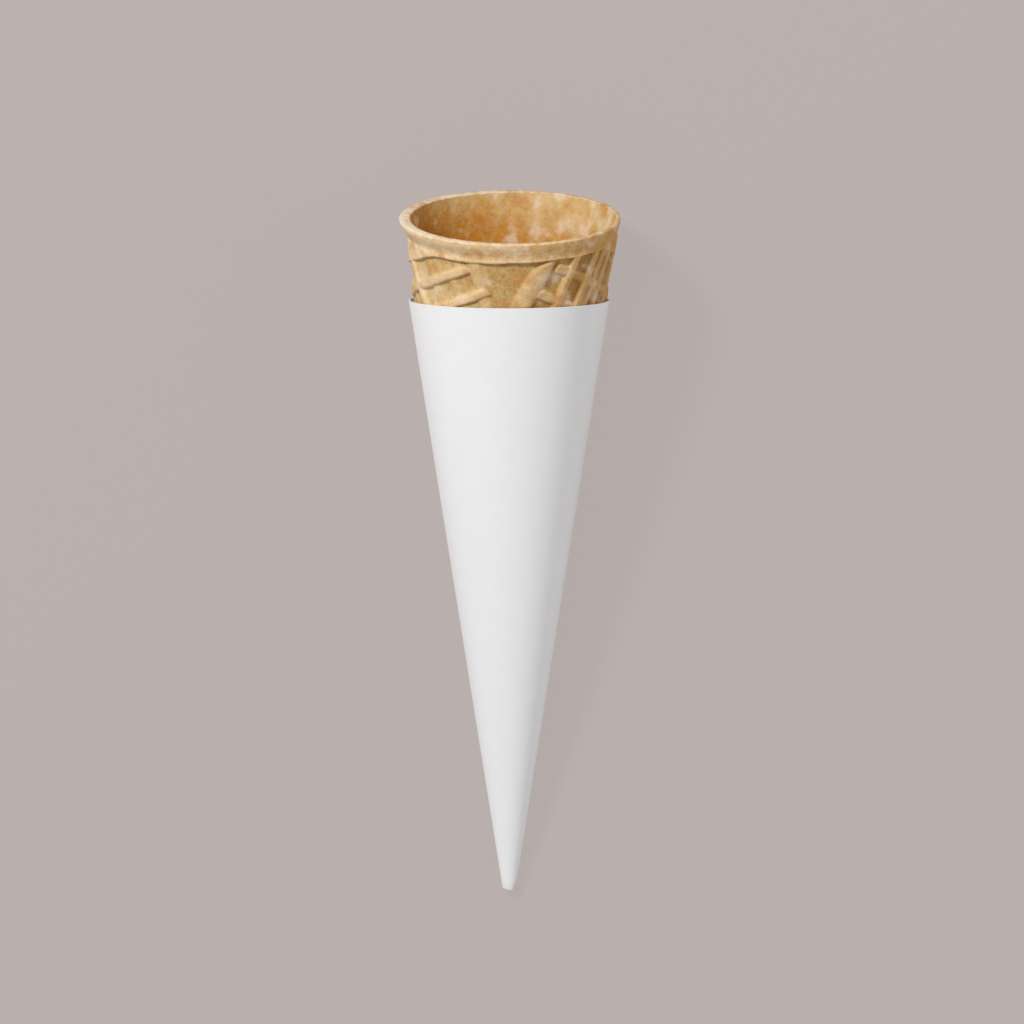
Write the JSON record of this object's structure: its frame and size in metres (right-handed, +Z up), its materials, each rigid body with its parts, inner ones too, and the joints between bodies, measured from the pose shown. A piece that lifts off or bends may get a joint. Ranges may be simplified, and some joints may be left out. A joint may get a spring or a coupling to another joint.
{
  "type": "ice cream cone with paper sleeve",
  "caption": "Wafer ice cream cone seated in a plain white conical paper sleeve, lying on its side as it comes to rest, with its lattice band and flared rim showing at the mouth.",
  "frame": {"origin": "centre of the bounding box, on the floor the cone lies on", "axes": "+Z up; the mouth looks along +Y, raised 8.7 degrees, and the tip points along -Y; +X is the right of the cone seen from above with the mouth at the top"},
  "size_m": [0.05, 0.1583, 0.0496],
  "materials": {
    "sleeve_paper": "matte",
    "baked_wafer": "matte"
  },
  "bodies": {
    "root": {"paper_sleeve": "sleeve_paper", "wafer_cone": "baked_wafer"}
  },
  "joints": []
}
